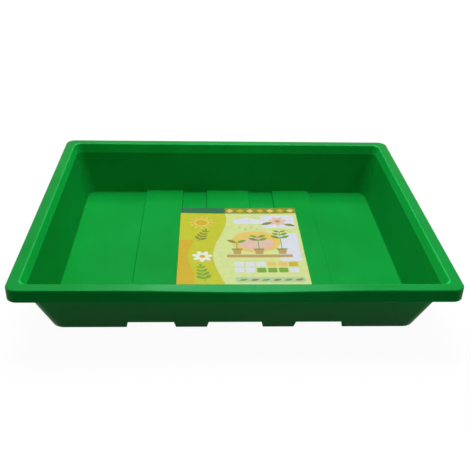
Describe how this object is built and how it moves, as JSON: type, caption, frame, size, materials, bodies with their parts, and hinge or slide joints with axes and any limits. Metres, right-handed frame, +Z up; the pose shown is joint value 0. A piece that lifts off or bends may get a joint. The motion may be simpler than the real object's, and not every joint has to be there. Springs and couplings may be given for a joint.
{
  "type": "seed tray",
  "caption": "Shallow rectangular seed tray with leaning walls, a turned-down rim, three raised floor bands and a notched foot rim, with a loose printed card lying in it.",
  "frame": {"origin": "centre of the footprint, on the plane that the foot rim stands on", "axes": "+X along the tray's length, +Y to the back, +Z up out of the open top; the under-floor channels run along Y"},
  "size_m": [0.35, 0.29, 0.056],
  "materials": {
    "green_plastic": "satin injection-moulded polypropylene, mid green",
    "printed_card": "printed card with a light coating"
  },
  "bodies": {
    "tray": {"tray": "green_plastic"},
    "label_card": {"label_card": "printed_card"}
  },
  "joints": [
    {"name": "card_lift", "type": "slide", "parent": "tray", "child": "label_card", "axis": [0, 0, 1], "range_m": [0, 0.07]}
  ]
}
